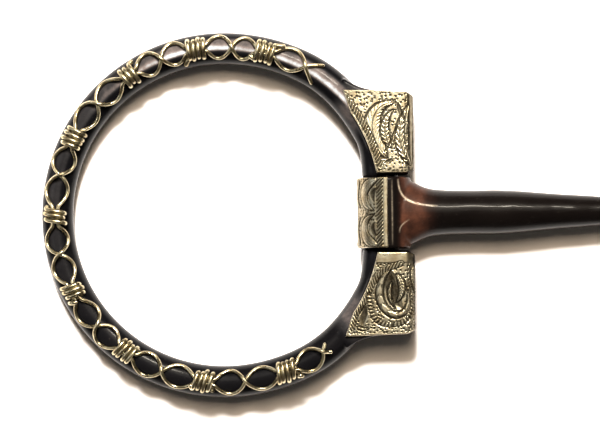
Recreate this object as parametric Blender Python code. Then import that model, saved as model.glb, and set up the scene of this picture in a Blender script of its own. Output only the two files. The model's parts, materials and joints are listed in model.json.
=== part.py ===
"""D-ring snaffle bit with wire-trimmed rings and engraved overlays, laid out flat on a table.

Each cheek is a ring of round bar closed by two flat shoulders. A hinge pin through the shoulders
carries the barrel of a cannon, and the two cannons meet in a pair of linked eyes. A cheek and its
cannon are modelled for the left side, with the hinge pin's centre as their origin, +X towards the
mouth, +Y along the pin and +Z out of the ring's trimmed face. The right side is their mirror image.
"""

import math

import bmesh
import bpy
from mathutils import Vector

MM = 0.001

# Sizes that drive the rest
MOUTH_WIDTH = 127.0 * MM  # between the two cheeks
BAR_RADIUS = 4.0 * MM  # of the ring's round bar
RING_RADIUS = 42.0 * MM  # of the bar's centre line
RING_BULGE = 0.55 * MM  # of the centre line beside the shoulders
RING_CENTRE_X = -40.85 * MM  # from the hinge pin's axis
BARREL_RADIUS = 6.3 * MM
BARREL_LENGTH = 17.9 * MM
PIN_RADIUS = 3.2 * MM
GAP = 0.3 * MM  # between pieces that touch

# Shoulders on the ends of the ring's bar, and the overlays on them
SHOULDER_HALF_THICKNESS = 4.3 * MM
SHOULDER_EDGE_RADIUS = 1.5 * MM
SHOULDER_END_Y = 9.4 * MM  # the face beside the barrel
SHOULDER_HOLLOW = (-43.7 * MM, 1.7 * MM, 42.0 * MM)  # centre and radius of its edge on the bar
HINGE_BAR_X = -1.9 * MM  # centre line of the bar's straight ends
SHOULDER_OUTER_Y = 30.4 * MM  # of the outer edge at the mouth side
SHOULDER_RISE = 3.6 * MM  # of that edge, in a hollow curve, to where it meets the ring
SHOULDER_MEETS_RING_X = -10.3 * MM
CORNER_CUT = 1.0 * MM  # at the mouth side's outer corners
OVERLAY_THICKNESS = 0.8 * MM
OVERLAY_TIP = (-10.4 * MM, 30.8 * MM)
OVERLAY_OUTER_Y = 30.0 * MM  # at the mouth side
OVERLAY_HOLLOW_RADIUS = 42.3 * MM  # round the same centre
OVERLAY_HOLLOW_START = 33.5  # degrees, where that edge leaves the round and runs straight to the tip
OVERLAY_SIDE_DEPTH = 2.0 * MM  # how far it reaches past the middle of the mouth side
CHEEK_FACE_X = 7.1 * MM  # the overlay's mouth side
SHOULDER_MOUTH_X = CHEEK_FACE_X - OVERLAY_THICKNESS - GAP

BAND_THICKNESS = 0.6 * MM
BAND_INNER_RADIUS = BARREL_RADIUS + GAP
BAND_OUTER_RADIUS = BAND_INNER_RADIUS + BAND_THICKNESS
BAND_LENGTH = 17.5 * MM
BAND_WRAP = 2.0  # degrees, past half way round

# Linked eyes: the bar of each passes through the middle of the other
EYE_BAR_RADIUS = 2.25 * MM
EYE_RADIUS = BAND_OUTER_RADIUS - EYE_BAR_RADIUS

# Trim wire
WIRE_RADIUS = 0.5 * MM
WRAP_ANGLES = [74.7, 98.5, 123.4, 152.4, 180.0, 206.9, 234.2, 263.2, 292.0]  # degrees, hand spaced
END_CROSSINGS = [60.2, 305.7]  # degrees, where the two strands end
TAIL_ANGLE = 4.0  # degrees, past an end crossing
LOOP_HALF_WIDTH = 2.85 * MM
WRAP_TURNS = 3
WRAP_PITCH = 1.35 * MM
STRAND_SPREAD = 0.65 * MM  # from the middle, inside a wrap
WRAP_SECTION = [(2.1, 0.0), (1.3, 1.35), (-1.3, 1.35), (-2.1, 0.0), (-1.3, -1.35), (1.3, -1.35)]  # mm
WRAP_TAIL = (2.9, -1.2)  # mm
LOW = GAP + WIRE_RADIUS  # height of a wire's centre that lies on the bar
HIGH = LOW + 2 * WIRE_RADIUS + GAP  # that passes over another wire
IN_WRAP = LOW + 1.35 * MM  # that runs through a wrap

# Half width along Y and half depth along Z of the cannon, at distances from the pin's axis, in mm
CANNON_SECTIONS = [
    (1.0, 8.3, 5.0),
    (6.0, 8.2, 5.3),
    (7.6, 7.4, 5.5),
    (9.6, 6.4, 5.6),
    (12.0, 5.8, 5.6),
    (16.0, 5.55, 5.55),
    (22.0, 5.45, 5.45),
    (28.0, 5.55, 5.55),
    (33.0, 5.25, 5.25),
    (38.0, 4.8, 4.8),
    (43.0, 4.4, 4.4),
    (48.0, 4.05, 4.05),
    (54.0, 3.6, 3.6),
    (58.0, 3.2, 3.2),
    (61.5, 2.7, 2.1),
]
CANNON_SIDES = 20

PIN_X = MOUTH_WIDTH / 2 + CHEEK_FACE_X
PIN_Z = BAND_OUTER_RADIUS
RING_REACH = RING_RADIUS - RING_CENTRE_X
RING_DROOP = math.asin((PIN_Z - BAR_RADIUS) / RING_REACH)  # the ring lies on the table

# name: colour, metallic, roughness
FINISHES = {
    "blued_iron": ((0.035, 0.035, 0.04, 1), 0.9, 0.35),
    "browned_iron": ((0.05, 0.035, 0.03, 1), 0.9, 0.3),
    "engraved_silver": ((0.72, 0.65, 0.48, 1), 1.0, 0.3),
    "trim_wire": ((0.78, 0.68, 0.45, 1), 1.0, 0.25),
}


def clear_scene():
    for obj in list(bpy.data.objects):
        bpy.data.objects.remove(obj)


def new_collection(name):
    collection = bpy.data.collections.new(name)
    bpy.context.scene.collection.children.link(collection)
    return collection


def finish_material(name):
    material = bpy.data.materials.get(name)
    if material is None:
        colour, metallic, roughness = FINISHES[name]
        material = bpy.data.materials.new(name)
        material.use_nodes = True
        shader = material.node_tree.nodes["Principled BSDF"]
        shader.inputs["Base Color"].default_value = colour
        shader.inputs["Metallic"].default_value = metallic
        shader.inputs["Roughness"].default_value = roughness
    return material


def put_object(name, data, parent, finish, collection):
    """Shows the mesh or curve as the named piece, in its parent's frame."""
    obj = bpy.data.objects.new(name, data)
    obj.parent = parent
    collection.objects.link(obj)
    if not data.materials:
        data.materials.append(finish_material(finish))
    return obj


def temporary_object(data):
    obj = bpy.data.objects.new("temporary", data)
    bpy.context.scene.collection.objects.link(obj)
    return obj


def taken_mesh(obj):
    """The object's evaluated mesh, with a curve's loose caps welded, in place of the object."""
    bpy.context.view_layer.update()
    graph = bpy.context.evaluated_depsgraph_get()
    mesh = bpy.data.meshes.new_from_object(obj.evaluated_get(graph))
    mesh.transform(obj.matrix_world)
    bpy.data.objects.remove(obj)
    model = bmesh.new()
    model.from_mesh(mesh)
    bmesh.ops.remove_doubles(model, verts=model.verts, dist=0.001 * MM)
    bmesh.ops.recalc_face_normals(model, faces=model.faces)
    model.to_mesh(mesh)
    model.free()
    return mesh


def combined(base, others, operation):
    """The base mesh with each of the other meshes joined to it or cut from it."""
    target = temporary_object(base)
    helpers = [temporary_object(mesh) for mesh in others]
    for helper in helpers:
        helper.hide_render = True
        cut = target.modifiers.new("combine", "BOOLEAN")
        cut.operation = operation
        cut.object = helper
    mesh = taken_mesh(target)
    for helper in helpers:
        bpy.data.objects.remove(helper)
    return mesh


def smooth(mesh, sharp_degrees=35):
    mesh.shade_smooth()
    mesh.set_sharp_from_angle(angle=math.radians(sharp_degrees))
    return mesh


def tube_curve(name, points, radius, resolution):
    """A round wire or bar through the points."""
    curve = bpy.data.curves.new(name, "CURVE")
    curve.dimensions = "3D"
    curve.bevel_depth = radius
    curve.bevel_resolution = resolution
    curve.use_fill_caps = True
    spline = curve.splines.new("POLY")
    spline.points.add(len(points) - 1)
    for control, point in zip(spline.points, points):
        control.co = (*point, 1)
    return curve


def outline_mesh(points, half_thickness, upright=False):
    """A flat outline thickened both ways from the XY plane or, if upright, from the XZ plane."""
    curve = bpy.data.curves.new("outline", "CURVE")
    curve.dimensions = "2D"
    curve.fill_mode = "BOTH"
    curve.extrude = half_thickness
    spline = curve.splines.new("POLY")
    spline.points.add(len(points) - 1)
    spline.use_cyclic_u = True
    for control, (across, up) in zip(spline.points, points):
        control.co = (across, up, 0, 1)
    obj = temporary_object(curve)
    if upright:
        obj.rotation_euler.x = math.radians(90)
    return taken_mesh(obj)


def cylinder_mesh(radius, length, sides, axis, chamfer=0.0):
    """A cylinder centred on the origin, with its ends chamfered."""
    model = bmesh.new()
    bmesh.ops.create_cone(
        model, cap_ends=True, segments=sides, radius1=radius, radius2=radius, depth=length
    )
    if chamfer:
        rim = [edge for edge in model.edges if abs(edge.verts[0].co.z - edge.verts[1].co.z) < MM]
        bmesh.ops.bevel(model, geom=rim, offset=chamfer, segments=1, affect="EDGES")
    turn = Vector((0, 0, 1)).rotation_difference(Vector(axis)).to_matrix()
    bmesh.ops.rotate(model, verts=model.verts, matrix=turn)
    mesh = bpy.data.meshes.new("cylinder")
    model.to_mesh(mesh)
    model.free()
    return mesh


def arc(centre, radius, start, end, steps):
    """Points in a plane on a circle, from the start angle to the end angle, in degrees."""
    angles = [math.radians(start + (end - start) * i / steps) for i in range(steps + 1)]
    return [(centre[0] + radius * math.cos(a), centre[1] + radius * math.sin(a)) for a in angles]


def shoulder_edge_y(x):
    """The shoulder's outer edge, which rises in a hollow curve towards the ring."""
    share = (CHEEK_FACE_X - x) / (CHEEK_FACE_X - SHOULDER_MEETS_RING_X)
    return SHOULDER_OUTER_Y + SHOULDER_RISE * share**4


def hollow_edge(radius, start, end_y):
    """Points down the edge that follows the bar, from a start angle to the end beside the barrel."""
    *centre, _ = SHOULDER_HOLLOW
    return arc(centre, radius, start, math.degrees(math.asin((end_y - centre[1]) / radius)), 8)


def round_shoulder_rim(mesh):
    """Rounds the rim of both faces, except where the shoulder runs into the bar and the barrel."""
    *centre, radius = SHOULDER_HOLLOW
    model = bmesh.new()
    model.from_mesh(mesh)
    bmesh.ops.dissolve_limit(model, angle_limit=0.01, verts=model.verts, edges=model.edges)
    rim = []
    for edge in model.edges:
        middle = (edge.verts[0].co + edge.verts[1].co) / 2
        flat = edge.verts[0].co.z == edge.verts[1].co.z
        outside = math.dist((middle.x, abs(middle.y)), centre) > radius + 0.5 * MM
        if flat and outside and abs(middle.y) > SHOULDER_END_Y:
            rim.append(edge)
    bmesh.ops.bevel(
        model, geom=rim, offset=SHOULDER_EDGE_RADIUS, segments=3, profile=0.5, affect="EDGES"
    )
    model.to_mesh(mesh)
    model.free()
    return mesh


def shoulder_mesh(side):
    """One flat shoulder, on the +Y side of the barrel or, for side -1, on the -Y side."""
    past_end = SHOULDER_END_Y - 2.5 * MM  # the barrel's slot trims it
    corner_y = shoulder_edge_y(SHOULDER_MOUTH_X) - CORNER_CUT
    outline = [(SHOULDER_MOUTH_X, past_end), (SHOULDER_MOUTH_X, corner_y)]
    start_x, steps = SHOULDER_MOUTH_X - CORNER_CUT, 6
    for i in range(steps + 1):
        x = start_x + (SHOULDER_MEETS_RING_X - start_x) * i / steps
        outline.append((x, shoulder_edge_y(x)))
    outline += hollow_edge(SHOULDER_HOLLOW[2], 41, past_end)
    flat = outline_mesh([(x, side * y) for x, y in outline], SHOULDER_HALF_THICKNESS)
    return round_shoulder_rim(flat)


def ring_radius(angle):
    """Of the bar's centre line at an angle in degrees. It bulges a little beside the shoulders."""
    from_mouth = abs((angle + 180) % 360 - 180)
    return RING_RADIUS + RING_BULGE * math.exp(-(((from_mouth - 53) / 16) ** 2))


def ring_line():
    """The bar's centre line: nearly a circle, with straight ends that stop in the barrel's slot."""
    into_straight = 26  # degrees
    steps = 48
    end_y = SHOULDER_END_Y - 2.5 * MM
    bend = [(HINGE_BAR_X, SHOULDER_END_Y + 2.5 * MM), (HINGE_BAR_X - 0.3 * MM, 15.4 * MM)]
    line = [(HINGE_BAR_X, end_y), *bend]
    for i in range(steps + 1):
        angle = into_straight + (360 - 2 * into_straight) * i / steps
        turn, radius = math.radians(angle), ring_radius(angle)
        line.append((RING_CENTRE_X + radius * math.cos(turn), radius * math.sin(turn)))
    line += [(x, -y) for x, y in reversed(bend)]
    line.append((HINGE_BAR_X, -end_y))
    return [(x, y, 0) for x, y in line]


def cheek_ring_mesh():
    ring = taken_mesh(temporary_object(tube_curve("bar", ring_line(), BAR_RADIUS, 4)))
    ring = combined(ring, [shoulder_mesh(1), shoulder_mesh(-1)], "UNION")
    slot = cylinder_mesh(12 * MM, 2 * SHOULDER_END_Y, 4, (0, 1, 0))
    hole = cylinder_mesh(PIN_RADIUS + GAP, 90 * MM, 24, (0, 1, 0))
    return smooth(combined(ring, [slot, hole], "DIFFERENCE"))


def hinge_pin_mesh():
    length = 2 * (shoulder_edge_y(0) - GAP)
    return smooth(cylinder_mesh(PIN_RADIUS, length, 24, (0, 1, 0), 0.4 * MM))


def overlay_mesh(side):
    """Sheet over a shoulder's face that turns down over its mouth side."""
    face_z = SHOULDER_HALF_THICKNESS + GAP
    bend_radius = SHOULDER_EDGE_RADIUS + GAP
    bend = (CHEEK_FACE_X - OVERLAY_THICKNESS - bend_radius, face_z - bend_radius)
    far_x = -16 * MM
    profile = [(far_x, face_z + OVERLAY_THICKNESS)]
    profile += arc(bend, bend_radius + OVERLAY_THICKNESS, 90, 0, 5)
    profile.append((CHEEK_FACE_X, -OVERLAY_SIDE_DEPTH))
    profile.append((CHEEK_FACE_X - OVERLAY_THICKNESS, -OVERLAY_SIDE_DEPTH))
    profile += arc(bend, bend_radius, 0, 90, 5)
    profile.append((far_x, face_z))
    sheet = outline_mesh(profile, 0.04, upright=True)

    past_side = CHEEK_FACE_X + 2 * MM
    end_y = SHOULDER_END_Y + 0.4 * MM
    plan = [(past_side, end_y), (past_side, OVERLAY_OUTER_Y - CORNER_CUT)]
    plan += [(CHEEK_FACE_X, OVERLAY_OUTER_Y - CORNER_CUT)]
    plan += [(CHEEK_FACE_X - CORNER_CUT, OVERLAY_OUTER_Y), OVERLAY_TIP]
    plan += hollow_edge(OVERLAY_HOLLOW_RADIUS, OVERLAY_HOLLOW_START, end_y)
    cutter = outline_mesh([(x, side * y) for x, y in plan], 0.02)
    return smooth(combined(sheet, [cutter], "INTERSECT"))


def barrel_band_mesh():
    """Half sleeve round the side of the barrel that faces away from the mouth."""
    start, end = 90 - BAND_WRAP, 270 + BAND_WRAP
    outline = arc((0, 0), BAND_OUTER_RADIUS, start, end, 16)
    outline += arc((0, 0), BAND_INNER_RADIUS, end, start, 16)
    return smooth(outline_mesh(outline, BAND_LENGTH / 2, upright=True))


def cannon_loft():
    """Closed skin through the cannon's oval sections."""
    model = bmesh.new()
    rings = []
    for distance, half_width, half_depth in CANNON_SECTIONS:
        turns = [2 * math.pi * i / CANNON_SIDES for i in range(CANNON_SIDES)]
        rings.append(
            [
                model.verts.new(
                    Vector((distance, half_width * math.cos(t), half_depth * math.sin(t))) * MM
                )
                for t in turns
            ]
        )
    for near, far in zip(rings, rings[1:]):
        for i in range(CANNON_SIDES):
            j = (i + 1) % CANNON_SIDES
            model.faces.new((near[i], near[j], far[j], far[i]))
    model.faces.new(rings[0])
    model.faces.new(rings[-1])
    bmesh.ops.recalc_face_normals(model, faces=model.faces)
    mesh = bpy.data.meshes.new("cannon")
    model.to_mesh(mesh)
    model.free()
    return mesh


def cannon_mesh(eye_upright):
    """A cannon with its barrel and eye. One eye lies flat and the other stands, so that they link."""
    barrel = cylinder_mesh(BARREL_RADIUS, BARREL_LENGTH, 32, (0, 1, 0), 0.6 * MM)
    bpy.ops.mesh.primitive_torus_add(
        location=(PIN_X - EYE_RADIUS / 2, 0, 0),
        rotation=(math.radians(90 if eye_upright else 0), 0, 0),
        major_radius=EYE_RADIUS,
        minor_radius=EYE_BAR_RADIUS,
        major_segments=24,
        minor_segments=12,
    )
    eye = taken_mesh(bpy.context.object)
    body = combined(cannon_loft(), [barrel, eye], "UNION")
    bore = cylinder_mesh(PIN_RADIUS + GAP, 2 * BARREL_LENGTH, 24, (0, 1, 0))
    return smooth(combined(body, [bore], "DIFFERENCE"))


def above_bar(angle, lateral, height):
    """The point at an angle round the ring, a distance outwards over the bar and a height above it."""
    turn = math.radians(angle)
    reach = BAR_RADIUS + height
    lean = lateral / reach
    out = ring_radius(angle) + reach * math.sin(lean)
    return Vector(
        (RING_CENTRE_X + out * math.cos(turn), out * math.sin(turn), reach * math.cos(lean))
    )


def half_wrap_angle():
    return math.degrees(WRAP_TURNS * WRAP_PITCH / 2 / RING_RADIUS) + 0.8


def loop_points(start, end, side):
    """One side of a loop between two angles, without its ends."""
    shape = [(0.2, 0.75), (0.5, 1.0), (0.8, 0.75)]  # share of the length, share of the half width
    return [
        above_bar(start + (end - start) * along, side * width * LOOP_HALF_WIDTH, LOW)
        for along, width in shape
    ]


def strand_points(side):
    """One of the two trim strands. They cross between wraps and run side by side through each wrap."""
    half_wrap = half_wrap_angle()
    first, last = END_CROSSINGS
    points = [
        above_bar(first - TAIL_ANGLE, -side * 1.6 * MM, LOW),
        above_bar(first, 0, HIGH if side > 0 else LOW),
        *loop_points(first, WRAP_ANGLES[0] - half_wrap, side),
    ]
    over = side < 0
    for here, following in zip(WRAP_ANGLES, [*WRAP_ANGLES[1:], None]):
        points.append(above_bar(here - half_wrap, side * STRAND_SPREAD, IN_WRAP))
        points.append(above_bar(here + half_wrap, side * STRAND_SPREAD, IN_WRAP))
        start = here + half_wrap
        end = last if following is None else following - half_wrap
        if following is not None:
            crossing = (start + end) / 2
            points += loop_points(start, crossing, side)
            points.append(above_bar(crossing, 0, HIGH if over else LOW))
            side, over = -side, not over
            start = crossing
        points += loop_points(start, end, side)
    points.append(above_bar(last, 0, HIGH if over else LOW))
    points.append(above_bar(last + TAIL_ANGLE, -side * 1.6 * MM, LOW))
    return points


def wrap_points(angle):
    """A wrap's wire, wound round both strands, with both ends coming down to the bar outside them."""
    out = Vector((math.cos(math.radians(angle)), math.sin(math.radians(angle)), 0))
    along = Vector((-out.y, out.x, 0))
    up = Vector((0, 0, 1))
    middle = Vector((RING_CENTRE_X, 0, 0)) + ring_radius(angle) * out
    middle += (BAR_RADIUS + IN_WRAP) * up
    steps = WRAP_TURNS * len(WRAP_SECTION)
    stations = [WRAP_SECTION[i % len(WRAP_SECTION)] for i in range(-1, steps - 1)]
    stations[0] = WRAP_TAIL
    stations[-1] = (-WRAP_TAIL[0], WRAP_TAIL[1])
    points = []
    for i, (lateral, rise) in enumerate(stations):
        advance = (i / (len(stations) - 1) - 0.5) * WRAP_TURNS * WRAP_PITCH
        points.append(middle + advance * along + lateral * MM * out + rise * MM * up)
    return points


def side_frame(name, mirrored, collection):
    """An empty on a hinge pin's centre. A mirrored frame turns left pieces into right ones."""
    frame = bpy.data.objects.new(name, None)
    collection.objects.link(frame)
    side = -1 if mirrored else 1
    frame.location = (-side * PIN_X, 0, PIN_Z)
    frame.scale.x = side
    return frame


def build():
    clear_scene()
    collection = new_collection("snaffle_bit")
    overlays = {"upper": overlay_mesh(1), "lower": overlay_mesh(-1)}
    cheek_pieces = {
        "cheek_ring": (cheek_ring_mesh(), "blued_iron"),
        "hinge_pin": (hinge_pin_mesh(), "blued_iron"),
        **{f"{end}_overlay": (mesh, "engraved_silver") for end, mesh in overlays.items()},
        "outer_strand": (tube_curve("strand", strand_points(1), WIRE_RADIUS, 1), "trim_wire"),
        "inner_strand": (tube_curve("strand", strand_points(-1), WIRE_RADIUS, 1), "trim_wire"),
    }
    for number, angle in enumerate(WRAP_ANGLES, 1):
        wrap = tube_curve("wrap", wrap_points(angle), WIRE_RADIUS, 1)
        cheek_pieces[f"wire_wrap_{number}"] = (wrap, "trim_wire")
    band = barrel_band_mesh()
    for side, mirrored in (("left", False), ("right", True)):
        mouth_frame = side_frame(f"{side}_mouth_frame", mirrored, collection)
        cheek_frame = side_frame(f"{side}_cheek_frame", mirrored, collection)
        cheek_frame.rotation_euler.y = RING_DROOP if mirrored else -RING_DROOP
        for piece, (data, finish) in cheek_pieces.items():
            put_object(f"{side}_{piece}", data, cheek_frame, finish, collection)
        cannon = cannon_mesh(eye_upright=mirrored)
        put_object(f"{side}_cannon", cannon, mouth_frame, "browned_iron", collection)
        put_object(f"{side}_barrel_band", band, mouth_frame, "engraved_silver", collection)


build()
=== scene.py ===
"""Looks of the D-ring snaffle bit: iron, trim wire and engraved overlays on a pale table.

Lengths are in millimetres in every shape function and in metres in the scene. A left cheek or
cannon is shaped in its own frame, with the hinge pin's centre as origin, +X towards the mouth,
+Y along the pin and +Z out of the trimmed face, then placed on the left or mirrored to the right.
"""

import json
import math

import bmesh
import bpy
import numpy as np
from mathutils import Matrix, Vector


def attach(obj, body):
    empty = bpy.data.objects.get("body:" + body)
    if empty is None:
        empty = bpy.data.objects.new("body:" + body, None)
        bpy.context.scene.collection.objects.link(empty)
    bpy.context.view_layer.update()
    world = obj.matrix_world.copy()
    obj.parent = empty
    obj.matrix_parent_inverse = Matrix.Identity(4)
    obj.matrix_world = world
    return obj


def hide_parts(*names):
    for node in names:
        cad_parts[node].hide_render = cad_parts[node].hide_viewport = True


MM = 0.001  # metres
FULL_TURN = 2 * np.pi

# Sizes shared with the CAD
BAR_RADIUS = 4.0
RING_RADIUS = 42.0  # of the bar's centre line
RING_BULGE = 0.55  # of that line beside the shoulders
RING_CENTRE_X = -40.85
HINGE_BAR_X = -1.9
SHOULDER_HALF = 4.3
SHOULDER_END_Y = 9.4
SHOULDER_HOLLOW = (-43.7, 1.7, 42.0)  # centre and radius of the edge that follows the bar
SHOULDER_HOLLOW_START = 41  # degrees
SHOULDER_OUTER_Y = 30.4
SHOULDER_RISE = 3.6
SHOULDER_MEETS_RING_X = -10.3
SHOULDER_MOUTH_X = 6.0
CHEEK_FACE_X = 7.1
OVERLAY_THICKNESS = 0.8
OVERLAY_GAP = 0.3
OVERLAY_BEND = 1.5 + OVERLAY_GAP  # inner radius
OVERLAY_END_Y = SHOULDER_END_Y + 0.4
OVERLAY_OUTER_Y = 30.0
OVERLAY_TIP = (-10.4, 30.8)
OVERLAY_HOLLOW_RADIUS = 42.3
OVERLAY_HOLLOW_START = 33.5  # degrees
OVERLAY_SIDE_DEPTH = 2.0
PIN_BORE = 3.5
BARREL_RADIUS = 6.3
BARREL_LENGTH = 17.9
BAND_INNER = 6.6
BAND_OUTER = 7.2
BAND_LENGTH = 17.5
BAND_WRAP = 2.0  # degrees past half way round
EYE_BAR = 2.25
EYE_RADIUS = BAND_OUTER - EYE_BAR
WIRE_RADIUS = 0.5
WRAP_ANGLES = [74.7, 98.5, 123.4, 152.4, 180.0, 206.9, 234.2, 263.2, 292.0]
END_CROSSINGS = [60.2, 305.7]
CANNON_SECTIONS = [  # distance from the pin, half width, half depth
    (1.0, 8.3, 5.0),
    (6.0, 8.2, 5.3),
    (7.6, 7.4, 5.5),
    (9.6, 6.4, 5.6),
    (12.0, 5.8, 5.6),
    (16.0, 5.55, 5.55),
    (22.0, 5.45, 5.45),
    (28.0, 5.55, 5.55),
    (33.0, 5.25, 5.25),
    (38.0, 4.8, 4.8),
    (43.0, 4.4, 4.4),
    (48.0, 4.05, 4.05),
    (54.0, 3.6, 3.6),
    (58.0, 3.2, 3.2),
    (61.5, 2.7, 2.1),
]

# Detail of the visual model
BAR_SIDES = 40
RING_VOXEL = 0.36
CANNON_VOXEL = 0.3
CANNON_GRID = (160, 56)
BARREL_SIDES = 64
BORE_SIDES = 48
EYE_GRID = (72, 24)
WIRE_SIDES = 14
OVERLAY_GRID = (215, 205)
BAND_GRID = (190, 140)

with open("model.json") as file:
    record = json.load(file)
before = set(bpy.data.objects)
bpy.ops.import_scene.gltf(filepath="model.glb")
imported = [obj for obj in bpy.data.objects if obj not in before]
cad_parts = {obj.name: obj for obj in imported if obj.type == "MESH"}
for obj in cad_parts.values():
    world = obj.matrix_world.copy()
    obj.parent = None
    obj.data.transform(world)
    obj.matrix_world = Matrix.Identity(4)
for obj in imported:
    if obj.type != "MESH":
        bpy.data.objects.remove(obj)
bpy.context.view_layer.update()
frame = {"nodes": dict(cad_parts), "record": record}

joints = {joint["name"]: joint for joint in frame["record"]["behaviour"]["joints"]}
PIN_X = joints["right_cheek_hinge"]["pos_m"][0] / MM
PIN_Z = joints["right_cheek_hinge"]["pos_m"][2] / MM
RING_DROOP = math.asin((PIN_Z - BAR_RADIUS) / (RING_RADIUS - RING_CENTRE_X))


# --- placing and building meshes -------------------------------------------------------------


def placement(side, droop):
    """From a left piece's own frame, in millimetres, to the row frame, in metres."""
    sign = -1 if side == "left" else 1
    place = Matrix.Translation((sign * PIN_X * MM, 0, PIN_Z * MM))
    place @= Matrix.Rotation(sign * droop, 4, "Y")
    return place @ Matrix.Diagonal((-sign * MM, MM, MM, 1))


def placed(points, matrix):
    m = np.array(matrix)
    return points @ m[:3, :3].T + m[:3, 3]


def new_piece(name, points, faces, matrix, body, node, material, attributes=None):
    """A mesh piece that stands for a CAD node and rides on its body."""
    mesh = bpy.data.meshes.new(name)
    mesh.from_pydata(placed(np.asarray(points), matrix).tolist(), [], faces)
    for label, values in (attributes or {}).items():
        layer = mesh.attributes.new(label, "FLOAT", "POINT")
        layer.data.foreach_set("value", np.asarray(values, dtype=np.float32))
    if matrix.determinant() < 0:
        mesh.flip_normals()
    mesh.shade_smooth()
    obj = bpy.data.objects.new(name, mesh)
    bpy.context.scene.collection.objects.link(obj)
    mesh.materials.append(material)
    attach(obj, body)
    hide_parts(*node)
    return obj


def grid_faces(rows, columns, wrap_columns=False, wrap_rows=False, offset=0):
    faces = []
    for i in range(rows if wrap_rows else rows - 1):
        here, after = offset + i * columns, offset + (i + 1) % rows * columns
        for j in range(columns if wrap_columns else columns - 1):
            n = (j + 1) % columns
            faces.append((here + j, here + n, after + n, after + j))
    return faces


def reversed_faces(faces):
    return [tuple(reversed(face)) for face in faces]


def shell_faces(rows, columns):
    """Faces of a sheet whose front grid is followed by its back grid, with its rim closed."""
    count = rows * columns
    faces = grid_faces(rows, columns)
    faces += reversed_faces(grid_faces(rows, columns, offset=count))
    rim = list(range(columns))
    rim += [r * columns + columns - 1 for r in range(1, rows)]
    rim += [(rows - 1) * columns + c for c in range(columns - 2, -1, -1)]
    rim += [r * columns for r in range(rows - 2, 0, -1)]
    for a, b in zip(rim, rim[1:] + rim[:1]):
        faces.append((b, a, a + count, b + count))
    return faces


def softened(line, times):
    """The line with its inner points eased towards their neighbours."""
    for _ in range(times):
        line[1:-1] = (line[:-2] + 2 * line[1:-1] + line[2:]) / 4
    return line


def tube(path, radius, sides):
    """Round wire along the points, its ends closed by small domes. Returns points and faces."""
    dome_reach, dome_radius = 0.35, 0.6  # shares of the wire's radius
    path = np.asarray(path, dtype=float)
    radius = np.broadcast_to(np.asarray(radius, dtype=float), (len(path),)).copy()
    tangent = np.gradient(path, axis=0)
    tangent /= np.linalg.norm(tangent, axis=1, keepdims=True)
    start = path[0] - tangent[0] * radius[0] * dome_reach
    end = path[-1] + tangent[-1] * radius[-1] * dome_reach
    path = np.vstack([start, path, end])
    tangent = np.vstack([tangent[:1], tangent, tangent[-1:]])
    radius = np.concatenate([[radius[0] * dome_radius], radius, [radius[-1] * dome_radius]])
    normal = np.zeros_like(path)
    first = np.cross(tangent[0], (0.0, 0.0, 1.0))
    normal[0] = first / np.linalg.norm(first)
    for i in range(1, len(path)):
        n = normal[i - 1] - tangent[i] * np.dot(normal[i - 1], tangent[i])
        normal[i] = n / np.linalg.norm(n)
    other = np.cross(tangent, normal)
    turn = np.linspace(0, FULL_TURN, sides, endpoint=False)
    ring = (
        normal[:, None, :] * np.cos(turn)[None, :, None]
        + other[:, None, :] * np.sin(turn)[None, :, None]
    )
    points = path[:, None, :] + ring * radius[:, None, None]
    faces = grid_faces(len(path), sides, wrap_columns=True)
    count = len(path) * sides
    faces.append(tuple(range(sides - 1, -1, -1)))
    faces.append(tuple(range(count - sides, count)))
    return points.reshape(-1, 3), faces


def join_parts(parts):
    points, faces, base = [], [], 0
    for part_points, part_faces in parts:
        points.append(part_points)
        faces += [tuple(i + base for i in face) for face in part_faces]
        base += len(part_points)
    return np.vstack(points), faces


def smooth_noise(points, scale, seed):
    """Cheap smooth noise from -1 to 1: a sum of turned sine waves."""
    random = np.random.default_rng(seed)
    total = np.zeros(len(points))
    for _ in range(6):
        direction = random.normal(size=3)
        direction /= np.linalg.norm(direction)
        wave = FULL_TURN / (scale * random.uniform(0.7, 1.5))
        total += np.sin(points @ direction * wave + random.uniform(0, 6.28))
    return total / 6


def smoothstep(low, high, value):
    t = np.clip((value - low) / (high - low), 0, 1)
    return t * t * (3 - 2 * t)


# --- materials -------------------------------------------------------------------------------


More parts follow.
